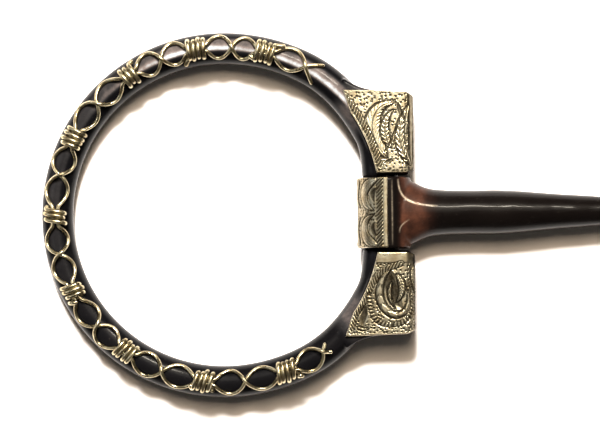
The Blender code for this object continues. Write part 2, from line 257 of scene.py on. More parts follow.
class Nodes:
    """A material's node tree with short ways to add and link nodes."""

    def __init__(self, name):
        self.material = bpy.data.materials.new(name)
        self.material.use_nodes = True
        self.tree = self.material.node_tree
        self.shader = self.tree.nodes["Principled BSDF"]

    def add(self, kind, inputs=None, **settings):
        node = self.tree.nodes.new(kind)
        for key, value in settings.items():
            setattr(node, key, value)
        for key, value in (inputs or {}).items():
            if isinstance(value, bpy.types.NodeSocket):
                self.tree.links.new(value, node.inputs[key])
            else:
                node.inputs[key].default_value = value
        return node

    def link(self, socket, target):
        self.tree.links.new(socket, self.shader.inputs[target])

    def position(self):
        return self.add("ShaderNodeTexCoord").outputs["Object"]

    def noise(self, scale, detail=4.0, rough=0.55, stretch=None):
        vector = self.position()
        if stretch:
            vector = self.add(
                "ShaderNodeMapping", {"Vector": vector, "Scale": stretch}
            ).outputs["Vector"]
        return self.add(
            "ShaderNodeTexNoise",
            {"Vector": vector, "Scale": scale, "Detail": detail, "Roughness": rough},
        ).outputs["Fac"]

    def ramp(self, value, stops):
        node = self.add("ShaderNodeValToRGB", {"Fac": value})
        elements = node.color_ramp.elements
        while len(elements) < len(stops):
            elements.new(0.5)
        for element, (place, colour) in zip(elements, stops):
            element.position = place
            if not isinstance(colour, tuple):
                colour = (colour, colour, colour)
            element.color = (*colour, 1)
        return node.outputs["Color"]

    def mix(self, factor, low, high):
        node = self.add("ShaderNodeMix", data_type="RGBA")
        for key, value in (("Factor", factor), ("A", low), ("B", high)):
            socket = next(s for s in node.inputs if s.name == key and s.enabled)
            if isinstance(value, bpy.types.NodeSocket):
                self.tree.links.new(value, socket)
            elif isinstance(value, tuple):
                socket.default_value = (*value, 1)
            else:
                socket.default_value = value
        return next(s for s in node.outputs if s.enabled)

    def product(self, a, b):
        return self.add("ShaderNodeMath", {0: a, 1: b}, operation="MULTIPLY").outputs["Value"]

    def attribute(self, name):
        return self.add("ShaderNodeAttribute", attribute_name=name).outputs["Fac"]

    def bump(self, layers):
        """Stacks (height, strength, distance in metres) layers."""
        normal = None
        for height, strength, distance in layers:
            inputs = {"Height": height, "Strength": strength, "Distance": distance}
            if normal is not None:
                inputs["Normal"] = normal
            normal = self.add("ShaderNodeBump", inputs).outputs["Normal"]
        self.link(normal, "Normal")


def iron_material(name, warm):
    """Dark oiled iron: where the patina-and-sheen mask is high, rubbed pale with a painted reflection
    or, if warm, brown patina with painted glint lines.
    """
    nodes = Nodes(name)
    cloud = nodes.noise(130, 5, 0.6)
    speck = nodes.noise(1100, 4, 0.7)
    scratch = nodes.noise(160, 6, 0.7, stretch=(1.0, 14.0, 14.0) if warm else (3.0, 3.0, 9.0))
    patches = nodes.ramp(nodes.noise(280, 6, 0.7), [(0.3, 0.62), (0.7, 1.15)])
    # Patina-and-sheen mask: brown patina on the cannon, a rubbed crown with painted reflections on the
    # ring.
    worn_and_sheen = nodes.product(nodes.attribute("patina"), patches)
    if warm:
        rubbed_and_sheen = [
            (0.0, (0.0045, 0.0032, 0.0028)),
            (0.35, (0.016, 0.008, 0.006)),
            (1.0, (0.078, 0.034, 0.021)),
        ]
    else:
        # The pale pinkish and cool stops are a painted reflection on the rubbed crown.
        rubbed_and_sheen = [
            (0.0, (0.0035, 0.0035, 0.0045)),
            (0.2, (0.028, 0.027, 0.028)),
            (0.45, (0.135, 0.115, 0.108)),
            (0.75, (0.34, 0.37, 0.39)),
            (1.0, (0.60, 0.65, 0.68)),
        ]
    base = nodes.ramp(worn_and_sheen, rubbed_and_sheen)
    base = nodes.mix(nodes.ramp(cloud, [(0.3, 0.0), (0.8, 0.012)]), base, (0.2, 0.16, 0.13))
    pits = nodes.ramp(speck, [(0.62, 0.0), (0.76, 0.16)])
    base = nodes.mix(pits, base, (0.13, 0.115, 0.10))
    if warm:
        # Painted glints along the flare's ridges, in a pale warm colour.
        broken = nodes.ramp(nodes.noise(520, 5, 0.7), [(0.32, 0.25), (0.6, 1.0)])
        painted_glint_lines = nodes.product(nodes.attribute("painted_glint"), broken)
        base = nodes.mix(painted_glint_lines, base, (0.62, 0.54, 0.42))
    nodes.link(base, "Base Color")
    gloss = nodes.ramp(nodes.mix(0.5, cloud, scratch), [(0.3, 0.26), (0.75, 0.42)])
    nodes.link(nodes.mix(worn_and_sheen, gloss, (0.45, 0.45, 0.45)), "Roughness")
    nodes.shader.inputs["IOR"].default_value = 1.22
    nodes.shader.inputs["Coat Weight"].default_value = 0.35
    nodes.shader.inputs["Coat Roughness"].default_value = 0.07
    nodes.shader.inputs["Coat IOR"].default_value = 1.25
    nodes.bump([(cloud, 0.3, 0.0003), (scratch, 0.25, 0.00012), (speck, 0.2, 0.0001)])
    return nodes.material


def gilt_material(name, light, dark, gloss):
    """Pale golden metal: worn crowns are bright, and the dirt-and-shade mask darkens the cuts with dirt
    and the corners, bends and wire undersides with painted shade.
    """
    nodes = Nodes(name)
    cloud = nodes.noise(240, 5, 0.6)
    fine = nodes.noise(1500, 3, 0.6)
    tarnish = nodes.ramp(nodes.noise(420, 5, 0.65), [(0.42, 0.0), (0.66, 0.55)])
    bright = nodes.ramp(cloud, [(0.3, light), (0.72, tuple(0.78 * c for c in light))])
    bright = nodes.mix(tarnish, bright, dark)
    # Dirt in the cuts and patches, and painted shade in corners, bends and on wire undersides, all mixed
    # towards one dark colour.
    dirt = nodes.product(nodes.attribute("dirt"), nodes.ramp(fine, [(0.2, 0.78), (0.65, 1.0)]))
    nodes.link(nodes.mix(dirt, bright, (0.022, 0.016, 0.010)), "Base Color")
    clean = nodes.ramp(cloud, [(0.3, gloss), (0.8, gloss + 0.16)])
    nodes.link(nodes.mix(dirt, clean, (0.6, 0.6, 0.6)), "Roughness")
    nodes.shader.inputs["Metallic"].default_value = 1.0
    nodes.bump([(cloud, 0.25, 0.0002), (fine, 0.2, 0.00006)])
    return nodes.material


blued_iron = iron_material("blued_iron_look", warm=False)
browned_iron = iron_material("browned_iron_look", warm=True)
engraved_silver = gilt_material("engraved_silver_look", (0.96, 0.88, 0.68), (0.42, 0.29, 0.12), 0.17)
trim_wire = gilt_material("trim_wire_look", (1.0, 0.90, 0.64), (0.44, 0.31, 0.13), 0.22)


# --- cheek ring ------------------------------------------------------------------------------


def ring_radius(degrees):
    from_mouth = np.abs((degrees + 180) % 360 - 180)
    return RING_RADIUS + RING_BULGE * np.exp(-(((from_mouth - 53) / 16) ** 2))


def shoulder_edge_y(x):
    share = (CHEEK_FACE_X - x) / (CHEEK_FACE_X - SHOULDER_MEETS_RING_X)
    return SHOULDER_OUTER_Y + SHOULDER_RISE * share**4


def ring_path():
    """The bar's centre line: nearly a circle, with straight ends beside the barrel."""
    degrees = np.linspace(25, 335, 220)
    radius = ring_radius(degrees)
    turn = np.radians(degrees)
    x = RING_CENTRE_X + radius * np.cos(turn)
    y = radius * np.sin(turn)
    ends = [(HINGE_BAR_X, SHOULDER_END_Y), (HINGE_BAR_X, 12.6), (HINGE_BAR_X - 0.3, 15.4)]
    ends = np.array(ends)
    line = np.vstack([ends, np.c_[x, y], (ends * (1, -1))[::-1]])
    return np.c_[softened(line, 3), np.zeros(len(line))]


def shoulder_outline():
    """The upper shoulder from above, its outer corner at the mouth side rounded."""
    corner = 1.3
    steps = 24
    *centre, radius = SHOULDER_HOLLOW
    end = math.degrees(math.asin((SHOULDER_END_Y - centre[1]) / radius))
    turns = np.radians(np.linspace(SHOULDER_HOLLOW_START, end, steps))
    hollow = np.c_[centre[0] + radius * np.cos(turns), centre[1] + radius * np.sin(turns)]
    x = np.linspace(SHOULDER_MOUTH_X - corner, SHOULDER_MEETS_RING_X, steps)
    outer = np.c_[x, shoulder_edge_y(x)]
    mouth = [(SHOULDER_MOUTH_X, SHOULDER_END_Y), (SHOULDER_MOUTH_X, SHOULDER_OUTER_Y - corner)]
    round_corner = [(SHOULDER_MOUTH_X - 0.35, SHOULDER_OUTER_Y - 0.38)]
    return np.vstack([mouth, round_corner, outer, hollow])


def prism(outline, half):
    """A flat closed outline thickened both ways."""
    count = len(outline)
    top = np.c_[outline, np.full(count, half)]
    low = np.c_[outline, np.full(count, -half)]
    faces = [tuple(range(count)), tuple(range(2 * count - 1, count - 1, -1))]
    for i in range(count):
        j = (i + 1) % count
        faces.append((i, i + count, j + count, j))
    return np.vstack([top, low]), faces


def turn_outward(mesh):
    model = bmesh.new()
    model.from_mesh(mesh)
    bmesh.ops.recalc_face_normals(model, faces=model.faces)
    model.to_mesh(mesh)
    model.free()
    return mesh


def mesh_of(points, faces):
    mesh = bpy.data.meshes.new("helper")
    mesh.from_pydata(points.tolist(), [], faces)
    return turn_outward(mesh)


def cylinder(radius, half_length, sides):
    """A cylinder along Y, as points and faces."""
    turn = np.linspace(0, FULL_TURN, sides, endpoint=False)
    ring = np.c_[radius * np.cos(turn), np.full(sides, -half_length), radius * np.sin(turn)]
    faces = [tuple(range(sides)), tuple(range(2 * sides - 1, sides - 1, -1))]
    faces += [(i, i + sides, (i + 1) % sides + sides, (i + 1) % sides) for i in range(sides)]
    return np.vstack([ring, ring * (1, -1, 1)]), faces


def temporary(name, mesh):
    obj = bpy.data.objects.new(name, mesh)
    bpy.context.scene.collection.objects.link(obj)
    return obj


def sculpted(parts, voxel, smoothing, bore_half_length):
    """One skin round the overlapping parts, eased at their joins and bored for the hinge pin."""
    rough = temporary("rough", mesh_of(*join_parts(parts)))
    cutter = temporary("cutter", mesh_of(*cylinder(PIN_BORE, bore_half_length, BORE_SIDES)))
    remesh = rough.modifiers.new("skin", "REMESH")
    remesh.mode = "VOXEL"
    remesh.voxel_size = voxel
    smooth = rough.modifiers.new("smooth", "SMOOTH")
    smooth.factor = 0.5
    smooth.iterations = smoothing
    cut = rough.modifiers.new("cut", "BOOLEAN")
    cut.operation = "DIFFERENCE"
    cut.solver = "EXACT"
    cut.object = cutter
    bpy.context.view_layer.update()
    result = rough.evaluated_get(bpy.context.evaluated_depsgraph_get()).to_mesh()
    points = np.empty(len(result.vertices) * 3)
    result.vertices.foreach_get("co", points)
    faces = [tuple(face.vertices) for face in result.polygons]
    bpy.data.objects.remove(rough)
    bpy.data.objects.remove(cutter)
    return points.reshape(-1, 3), faces


RUBBED_AND_SHEEN_ANGLES = [-180, -150, -60, 30, 42, 105, 150, 180]  # degrees round the ring
RUBBED_AND_SHEEN_SHARES = [0.3, 0.1, 0.05, 0.2, 1, 1, 0.35, 0.3]  # how rubbed its crown is there, and how strong the painted reflection on it


def ring_wear_and_sheen(points):
    """Pale rubbed crown with painted reflections on it, most along the top of the ring, and worn bar
    beside the overlays' tips.
    """
    away = points[:, :2] - (RING_CENTRE_X, 0)
    turn = np.degrees(np.arctan2(away[:, 1], away[:, 0]))
    lateral = np.hypot(away[:, 0], away[:, 1]) - RING_RADIUS
    wave = smooth_noise(points, 9, 6)
    where = np.interp(turn, RUBBED_AND_SHEEN_ANGLES, RUBBED_AND_SHEEN_SHARES)
    # A broad rubbed patch with a painted pinkish reflection, and a narrow painted cool reflection along
    # the crown, on the bar's top only.
    broad = smoothstep(-1.1, -0.4, lateral) * smoothstep(2.7, 1.7, lateral)
    band = np.exp(-(((lateral + 0.2 - 0.25 * wave) / 0.65) ** 2))
    rubbed_and_sheen = where * (0.42 * broad + 0.5 * band * smoothstep(0.3, 0.9, where))
    rubbed_and_sheen *= smoothstep(2.0, 3.2, points[:, 2]) * (0.85 + 0.15 * wave)
    tips = smoothstep(28, 34, np.abs(turn)) * smoothstep(47, 40, np.abs(turn)) * 0.3
    tips *= smoothstep(1.0, 3.0, points[:, 2])
    return np.clip(np.maximum(rubbed_and_sheen, tips), 0, 1)


def cheek_ring_shape():
    bar = tube(ring_path(), BAR_RADIUS, BAR_SIDES)
    outline = shoulder_outline()
    upper = prism(outline, SHOULDER_HALF)
    lower = prism(outline * (1, -1), SHOULDER_HALF)
    points, faces = sculpted([bar, upper, lower], RING_VOXEL, smoothing=10, bore_half_length=50)
    points[:, 2] += 0.03 * smooth_noise(points, 9, 4)
    return points, faces, {"patina": ring_wear_and_sheen(points)}


# --- trim wire -------------------------------------------------------------------------------


def above_bar(degrees, lateral, height):
    """Points over the bar at angles round the ring, distances outwards and heights above it."""
    turn = np.radians(degrees)
    reach = BAR_RADIUS + height
    lean = lateral / reach
    out = ring_radius(degrees) + reach * np.sin(lean)
    return np.c_[RING_CENTRE_X + out * np.cos(turn), out * np.sin(turn), reach * np.cos(lean)]


LOW = WIRE_RADIUS + 0.02  # height of a wire's centre that lies on the bar
CROSSING_RISE = 2 * WIRE_RADIUS - 0.06  # of a strand over the other
WRAP_HALF = 2.6  # half a wrap's length along the bar
WRAP_RISE = 0.35  # of the strands inside a wrap
STRAND_SPREAD = 0.62  # of the strands from the middle inside a wrap
LOOP_HALF_WIDTH = 2.95
WRAP_WIRE_RADIUS = 0.58
WRAP_PITCH = 1.12
WRAP_STYLES = [  # turns, then how far the first and last ends run on along and across the bar
    (4.0, (-2.2, 0.5), (1.6, 0.7)),
    (4.0, None, (1.4, -1.4)),
    (3.0, (-1.0, 0.3), None),
    (4.0, None, None),
    (3.0, (-0.5, -0.4), None),
    (3.5, None, (0.6, -1.5)),
    (4.0, None, (0.5, 0.5)),
    (4.5, (-0.6, -0.8), None),
    (4.5, None, (0.7, 0.4)),
]


def degrees_of(length):
    return math.degrees(length / RING_RADIUS)


def strand_spans():
    """Half loops of the strands: start and end angle, and whether they run from a crossing to a wrap."""
    random = np.random.default_rng(11)
    half = degrees_of(WRAP_HALF)
    first, last = END_CROSSINGS
    spans = [(first, WRAP_ANGLES[0] - half, True)]
    for here, after in zip(WRAP_ANGLES, WRAP_ANGLES[1:]):
        middle = (here + after) / 2 + random.uniform(-0.5, 0.5)
        spans.append((here + half, middle, False))
        spans.append((middle, after - half, True))
    spans.append((WRAP_ANGLES[-1] + half, last, False))
    return spans


def strand_path(strand):
    """One strand, 0 or 1, from its splayed start to its splayed end."""
    random = np.random.default_rng(23 + strand)
    side = 1 if strand == 0 else -1
    over = side > 0
    first, last = END_CROSSINGS
    places = []  # angle, distance outwards, height

    def put(angle, across, rise):
        places.append(np.c_[angle, across, LOW + rise])

    tail = np.linspace(0, 1, 10, endpoint=False)
    reach = 3.1 if side > 0 else 2.6
    rise = CROSSING_RISE * over * smoothstep(0.35, 1, tail)
    put(first - 5.0 * (1 - tail), -side * reach * (1 - tail) ** 0.9, rise)
    for start, end, to_wrap in strand_spans():
        s = np.linspace(0, 1, 26, endpoint=False)
        width = LOOP_HALF_WIDTH + random.uniform(-0.25, 0.2)
        base = STRAND_SPREAD * (s if to_wrap else 1 - s)
        skew = s ** (1.0 + random.uniform(-0.12, 0.12))
        across = base + (width - base) * np.sin(np.pi * skew) ** 0.8
        leaving = 1 - smoothstep(0.0, 0.28, s)
        arriving = smoothstep(0.72, 1.0, s)
        if to_wrap:
            rise = CROSSING_RISE * over * leaving + WRAP_RISE * arriving
            put(start + (end - start) * s, side * across, rise)
            inside = np.linspace(0, 1, 10, endpoint=False)
            through = end + 2 * degrees_of(WRAP_HALF) * inside
            put(through, np.full(10, side * STRAND_SPREAD), np.full(10, WRAP_RISE))
        else:
            over = not over
            rise = CROSSING_RISE * over * arriving + WRAP_RISE * leaving
            put(start + (end - start) * s, side * across, rise)
            side = -side
    tail = np.linspace(0, 1, 12)
    rise = CROSSING_RISE * over * (1 - smoothstep(0, 0.65, tail))
    put(last + 2.2 * tail, side * 1.3 * tail**0.9, rise)
    return softened(above_bar(*np.vstack(places).T), 2)


def wire_shape(path, radius, seed):
    """A slightly uneven wire along the path, with painted shade on its underside and dirt in patches."""
    uneven = radius * (1 + 0.07 * smooth_noise(path, 3.5, seed))
    points, faces = tube(path, uneven, WIRE_SIDES)
    rings = points.reshape(-1, WIRE_SIDES, 3)
    rise = (rings[..., 2] - rings[..., 2].mean(axis=1, keepdims=True)) / radius
    # Painted shade on the wire's underside and sides.
    dirt = smoothstep(0.85, -0.15, rise.ravel())
    patches = smoothstep(0.25, 0.8, smooth_noise(points, 2.6, seed + 50))
    return points, faces, {"dirt": np.clip(dirt + 0.35 * patches, 0, 1)}


def strand_shape(strand):
    return wire_shape(strand_path(strand), 0.94 * WIRE_RADIUS, 7 + strand)


def free_end(place, push, out):
    """Places that run on from the end of a wrap's wire, along and across the bar."""
    t = np.linspace(0.1, 1, 10)
    return place + np.c_[push * t, out * t**1.3, 0.2 * np.sin(np.pi * t)]


def wrap_path(index):
    """A wrap's wire: a few uneven, flattened turns round both strands, some with free ends."""
    random = np.random.default_rng(100 + index)
    turns, start_end, last_end = WRAP_STYLES[index]
    phase = np.linspace(0.02 * np.pi, (2 * turns - 0.85) * np.pi, round(34 * turns))
    top = 2 * WIRE_RADIUS + 1.12
    middle, swing = (LOW + top) / 2, (top - LOW) / 2
    knots = np.arange(0, 2 * turns + 1) * np.pi
    shift = np.interp(phase, knots, random.uniform(-0.16, 0.16, len(knots)))
    reach = np.interp(phase, knots, 2.3 + random.uniform(-0.35, 0.35, len(knots)))
    side = np.cos(phase)
    across = reach * np.sign(side) * np.abs(side) ** 0.75
    lift = middle + swing * np.sign(np.sin(phase)) * np.abs(np.sin(phase)) ** 0.6
    slant = random.uniform(-0.45, 0.45)
    along = (phase / phase[-1] - 0.5) * WRAP_PITCH * turns + slant * side + shift
    line = np.c_[along, across, lift]
    if start_end:
        line = np.vstack([free_end(line[0], *start_end)[::-1], line])
    if last_end:
        line = np.vstack([line, free_end(line[-1], *last_end)])
    along, across, lift = line.T
    degrees = WRAP_ANGLES[index] + np.degrees(along / RING_RADIUS)
    return softened(straight_over_bar(degrees, across, lift), 2)


def straight_over_bar(degrees, lateral, height):
    """As above_bar, but the lateral way runs nearly straight across and droops a little."""
    turn = np.radians(degrees)
    out = ring_radius(degrees) + lateral
    drop = 0.12 * np.abs(lateral) ** 1.7
    return np.c_[
        RING_CENTRE_X + out * np.cos(turn), out * np.sin(turn), BAR_RADIUS + height - drop
    ]


def wrap_shape(index):
    return wire_shape(wrap_path(index), WRAP_WIRE_RADIUS, 40 + index)


# --- engraving -------------------------------------------------------------------------------

BACK_SHADE = 0.5  # painted shade of a sheet's hidden face


def nearest_on_line(points, line):
    """For points and a line: distance, side and share of the length of the nearest place on it."""
    line = np.asarray(line, dtype=float)
    a, b = line[:-1], line[1:]
    ab = b - a
    length = np.linalg.norm(ab, axis=1)
    before = np.concatenate([[0], np.cumsum(length)])
    best = np.full(len(points), 1e9)
    side = np.zeros(len(points))
    share = np.zeros(len(points))
    for i in range(len(a)):
        t = np.clip(((points - a[i]) @ ab[i]) / (length[i] ** 2 + 1e-12), 0, 1)
        foot = a[i] + t[:, None] * ab[i]
        away = points - foot
        distance = np.linalg.norm(away, axis=1)
        closer = distance < best
        best[closer] = distance[closer]
        cross = ab[i][0] * away[:, 1] - ab[i][1] * away[:, 0]
        side[closer] = np.sign(cross[closer])
        share[closer] = (before[i] + t[closer] * length[i]) / before[-1]
    return best, side, share, before[-1]


def bezier(points, steps=24):
    """A smooth line through control points of one cubic or a chain of them."""
    p = np.asarray(points, dtype=float)
    out = []
    for k in range(0, len(p) - 1, 3):
        t = np.linspace(0, 1, steps)[:, None]
        a, b, c, d = p[k : k + 4]
        out.append((1 - t) ** 3 * a + 3 * (1 - t) ** 2 * t * b + 3 * (1 - t) * t**2 * c + t**3 * d)
    return np.vstack(out)


class Relief:
    """Height and dirt of an engraved surface at flat places, in millimetres."""

    def __init__(self, places):
        self.places = places
        self.height = np.zeros(len(places))
        self.dirt = np.zeros(len(places))
        self.free = np.ones(len(places))  # 1 where the ground is still plain

    def groove(self, line, width=0.22, depth=0.14, dirt=0.9, taper=0.0):
        distance, _, share, _ = nearest_on_line(self.places, line)
        half = width * (1 - taper * np.abs(2 * share - 1) ** 2)
        cut = np.clip(1 - distance / np.maximum(half, 0.02), 0, 1)
        self.height = np.minimum(self.height, self.height - depth * cut)
        self.dirt = np.maximum(self.dirt, dirt * smoothstep(0.15, 0.7, cut))

    def leaf(self, spine, width, dome=0.2, hatch=0.9, lean=0.9, vein=True, cut_depth=0.12):
        """A leaf about a spine: domed, outlined and shaded with slanting cuts on both sides."""
        distance, _, share, length = nearest_on_line(self.places, spine)
        half = width * np.sin(np.pi * np.clip(share, 0.001, 0.999) ** 0.75) ** 0.8
        inside = half - distance
        body = smoothstep(-0.05, 0.1, inside)
        rise = dome * np.clip(inside / (0.6 * width), 0, 1) ** 0.7
        self.height = self.height * (1 - body) + body * rise
        self.dirt *= 1 - body
        along = share * length - lean * distance
        comb = np.abs((along / hatch) % 1 - 0.5) * 2
        cuts = smoothstep(0.5, 1.0, comb) * smoothstep(0.05, 0.3, distance / width) * body
        cuts *= smoothstep(0.0, 0.35, inside / width)
        self.height -= cut_depth * cuts
        self.dirt = np.maximum(self.dirt, 0.75 * cuts)
        if vein:
            mark = np.clip(1 - distance / 0.2, 0, 1) * body
            self.height -= 0.12 * mark
            self.dirt = np.maximum(self.dirt, 0.85 * mark)
        edge = np.clip(1 - np.abs(inside) / 0.26, 0, 1)
        self.height -= 0.2 * edge
        self.dirt = np.maximum(self.dirt, 0.95 * smoothstep(0.0, 0.6, edge))
        self.free *= 1 - smoothstep(-0.25, 0.0, inside)

    def hollow(self, spine, width, depth=0.3, dirt=0.9):
        """A leaf-shaped cut, deep and dark in the middle."""
        distance, _, share, _ = nearest_on_line(self.places, spine)
        half = width * np.sin(np.pi * np.clip(share, 0.001, 0.999) ** 0.8) ** 0.8
        inside = np.clip((half - distance) / width, 0, 1)
        self.height -= depth * inside**0.8
        self.dirt = np.maximum(self.dirt, dirt * smoothstep(0.05, 0.5, inside))
        self.free *= 1 - smoothstep(-0.2, 0.0, half - distance)

    def rope(self, line, width=0.75, pitch=0.9, lean=0.9):
        """A slanting-cut border between two thin lines."""
        distance, side, share, length = nearest_on_line(self.places, line)
        inside = width - distance
        body = smoothstep(-0.02, 0.08, inside)
        along = share * length + lean * side * distance
        comb = np.abs((along / pitch) % 1 - 0.5) * 2
        self.height = self.height * (1 - body) + body * (0.1 - 0.24 * smoothstep(0.35, 1.0, comb))
        self.dirt = self.dirt * (1 - body) + body * 0.95 * smoothstep(0.45, 0.85, comb)
        edge = np.clip(1 - np.abs(inside) / 0.17, 0, 1)
        self.height -= 0.14 * edge
        self.dirt = np.maximum(self.dirt, 0.8 * edge)
        self.free *= 1 - smoothstep(-0.1, 0.0, inside)

    def plain(self, line, width):
        """Keeps the ground beside the line free of punched dots."""
        distance, _, _, _ = nearest_on_line(self.places, line)
        self.free *= smoothstep(width - 0.1, width + 0.1, distance)

    def stipple(self, pitch=1.0, depth=0.16, ground=0.04, seed=3):
        """Sinks what is still plain a little and covers it with punched dots."""
        random = np.random.default_rng(seed)
        low = self.places.min(axis=0) - pitch
        cell = np.floor((self.places - low) / pitch).astype(int)
        shape = cell.max(axis=0) + 3
        jitter = random.uniform(0.1, 0.9, size=(shape[0], shape[1], 2))
        size = random.uniform(0.75, 1.15, size=(shape[0], shape[1]))
        nearest = np.full(len(self.places), 1e9)
        for di in (-1, 0, 1):
            for dj in (-1, 0, 1):
                i = np.clip(cell[:, 0] + di, 0, shape[0] - 1)
                j = np.clip(cell[:, 1] + dj, 0, shape[1] - 1)
                dot = low + (np.c_[cell[:, 0] + di, cell[:, 1] + dj] + jitter[i, j]) * pitch
                reach = np.linalg.norm(self.places - dot, axis=1) / size[i, j]
                nearest = np.minimum(nearest, reach)
        pit = smoothstep(0.31, 0.1, nearest)
        self.height -= self.free * (ground + depth * pit)
        self.dirt = np.maximum(self.dirt, self.free * (0.06 + 0.94 * pit))


def overlay_hollow():
    """The overlay's edge beside the bar, from its end by the barrel to its tip."""
    *centre, _ = SHOULDER_HOLLOW
    start = math.degrees(math.asin((OVERLAY_END_Y - centre[1]) / OVERLAY_HOLLOW_RADIUS))
    turns = np.radians(np.linspace(start, OVERLAY_HOLLOW_START, 60))
    across = centre[0] + OVERLAY_HOLLOW_RADIUS * np.cos(turns)
    up = centre[1] + OVERLAY_HOLLOW_RADIUS * np.sin(turns)
    return np.vstack([np.c_[across, up], OVERLAY_TIP])


def overlay_places():
    """Flat places over the unrolled overlay, and the sizes of its bend for on_sheet."""
    rows, columns = OVERLAY_GRID
    edge = overlay_hollow()
    steps = np.linalg.norm(np.diff(edge, axis=0), axis=1)
    reach = np.concatenate([[0], np.cumsum(steps)])
    t = np.linspace(0, 1, rows)
    left = np.c_[
        np.interp(t * reach[-1], reach, edge[:, 0]), np.interp(t * reach[-1], reach, edge[:, 1])
    ]
    flat_end = CHEEK_FACE_X - OVERLAY_THICKNESS - OVERLAY_BEND
    bend_radius = OVERLAY_BEND + OVERLAY_THICKNESS
    face_z = SHOULDER_HALF + OVERLAY_GAP
    bend_end = flat_end + bend_radius * np.pi / 2
    right_end = bend_end + face_z - OVERLAY_BEND + OVERLAY_SIDE_DEPTH
    height = OVERLAY_OUTER_Y - OVERLAY_END_Y
    right = np.c_[np.full(rows, right_end), OVERLAY_END_Y + t * height]
    s = np.linspace(0, 1, columns)[None, :, None]
    places = left[:, None, :] * (1 - s) + right[:, None, :] * s
    past = smoothstep(flat_end, bend_end, places[..., 0])
    rise = t[:, None]
    places[..., 1] += past * (0.6 * (1 - rise) ** 3 - 1.0 * rise**3)  # rounds its two corners
    return places.reshape(-1, 2), (flat_end, bend_radius, face_z)


def rim_distance(rows, columns, places):
    grid = places.reshape(rows, columns, 2)
    edges = np.vstack([grid[0], grid[:, -1], grid[-1][::-1], grid[::-1, 0]])
    distance, _, _, _ = nearest_on_line(places, edges)
    return distance


def rounded_off(rim, radius):
    """How far a surface falls near its rim, for a rim rounded to a radius."""
    inner = np.clip(radius - rim, 0, radius)
    return radius - np.sqrt(radius**2 - inner**2)


def on_sheet(places, height, bend):
    """Unrolled places and heights to the bent sheet's surface."""
    flat_end, radius, face_z = bend
    p, q = places[:, 0], places[:, 1]
    top = face_z + OVERLAY_THICKNESS
    turn = np.clip((p - flat_end) / radius, 0, np.pi / 2)
    past = np.maximum(p - flat_end - radius * np.pi / 2, 0)
    x = np.minimum(p, flat_end) + (radius + height) * np.sin(turn)
    z = top - radius + (radius + height) * np.cos(turn) - past
    return np.c_[x, q, z]


def upper_design(relief):
    """One broad leaf and long cuts on punched ground, with a rope border along the hollow edge."""
    *centre, _ = SHOULDER_HOLLOW
    turns = np.radians(np.linspace(12.8, 39.6, 40))
    border = np.c_[centre[0] + 43.5 * np.cos(turns), centre[1] + 43.5 * np.sin(turns)]
    mouth_leaf = bezier([(6.6, 11.6), (3.0, 15.5), (2.6, 21.0), (5.9, 26.6)])
    broad_leaf = bezier([(0.6, 13.6), (-5.2, 18.6), (-4.2, 27.6), (2.8, 27.4)])
    small_leaf = bezier([(1.6, 16.0), (-0.8, 19.0), (-0.6, 23.5), (2.2, 25.6)])
    relief.leaf(mouth_leaf, 1.3, hatch=1.5, lean=1.6)
    relief.leaf(broad_leaf, 2.3, dome=0.24, hatch=1.3, lean=1.4, cut_depth=0.05)
    relief.leaf(small_leaf, 1.2, hatch=1.0)
    relief.hollow(bezier([(3.3, 27.6), (3.4, 25.6), (4.4, 24.2), (5.2, 22.2)]), 0.62)
    relief.groove([(3.7, 22.9), (1.1, 16.9), (-0.2, 15.2)], width=0.34, depth=0.22, taper=0.6)
    relief.hollow([(-0.4, 12.2), (2.0, 13.6)], 0.4)
    for across, low, high in ((7.1, 12.0, 20.6), (8.4, 13.6, 25.0), (9.6, 12.4, 28.0)):
        relief.groove([(across, low), (across + 0.3, high)], width=0.3, depth=0.18, taper=0.7)
    relief.rope(border)
    relief.plain([(7.4, 8.0), (7.4, 33.0)], 1.9)
    relief.stipple(pitch=0.95, depth=0.16, seed=5)


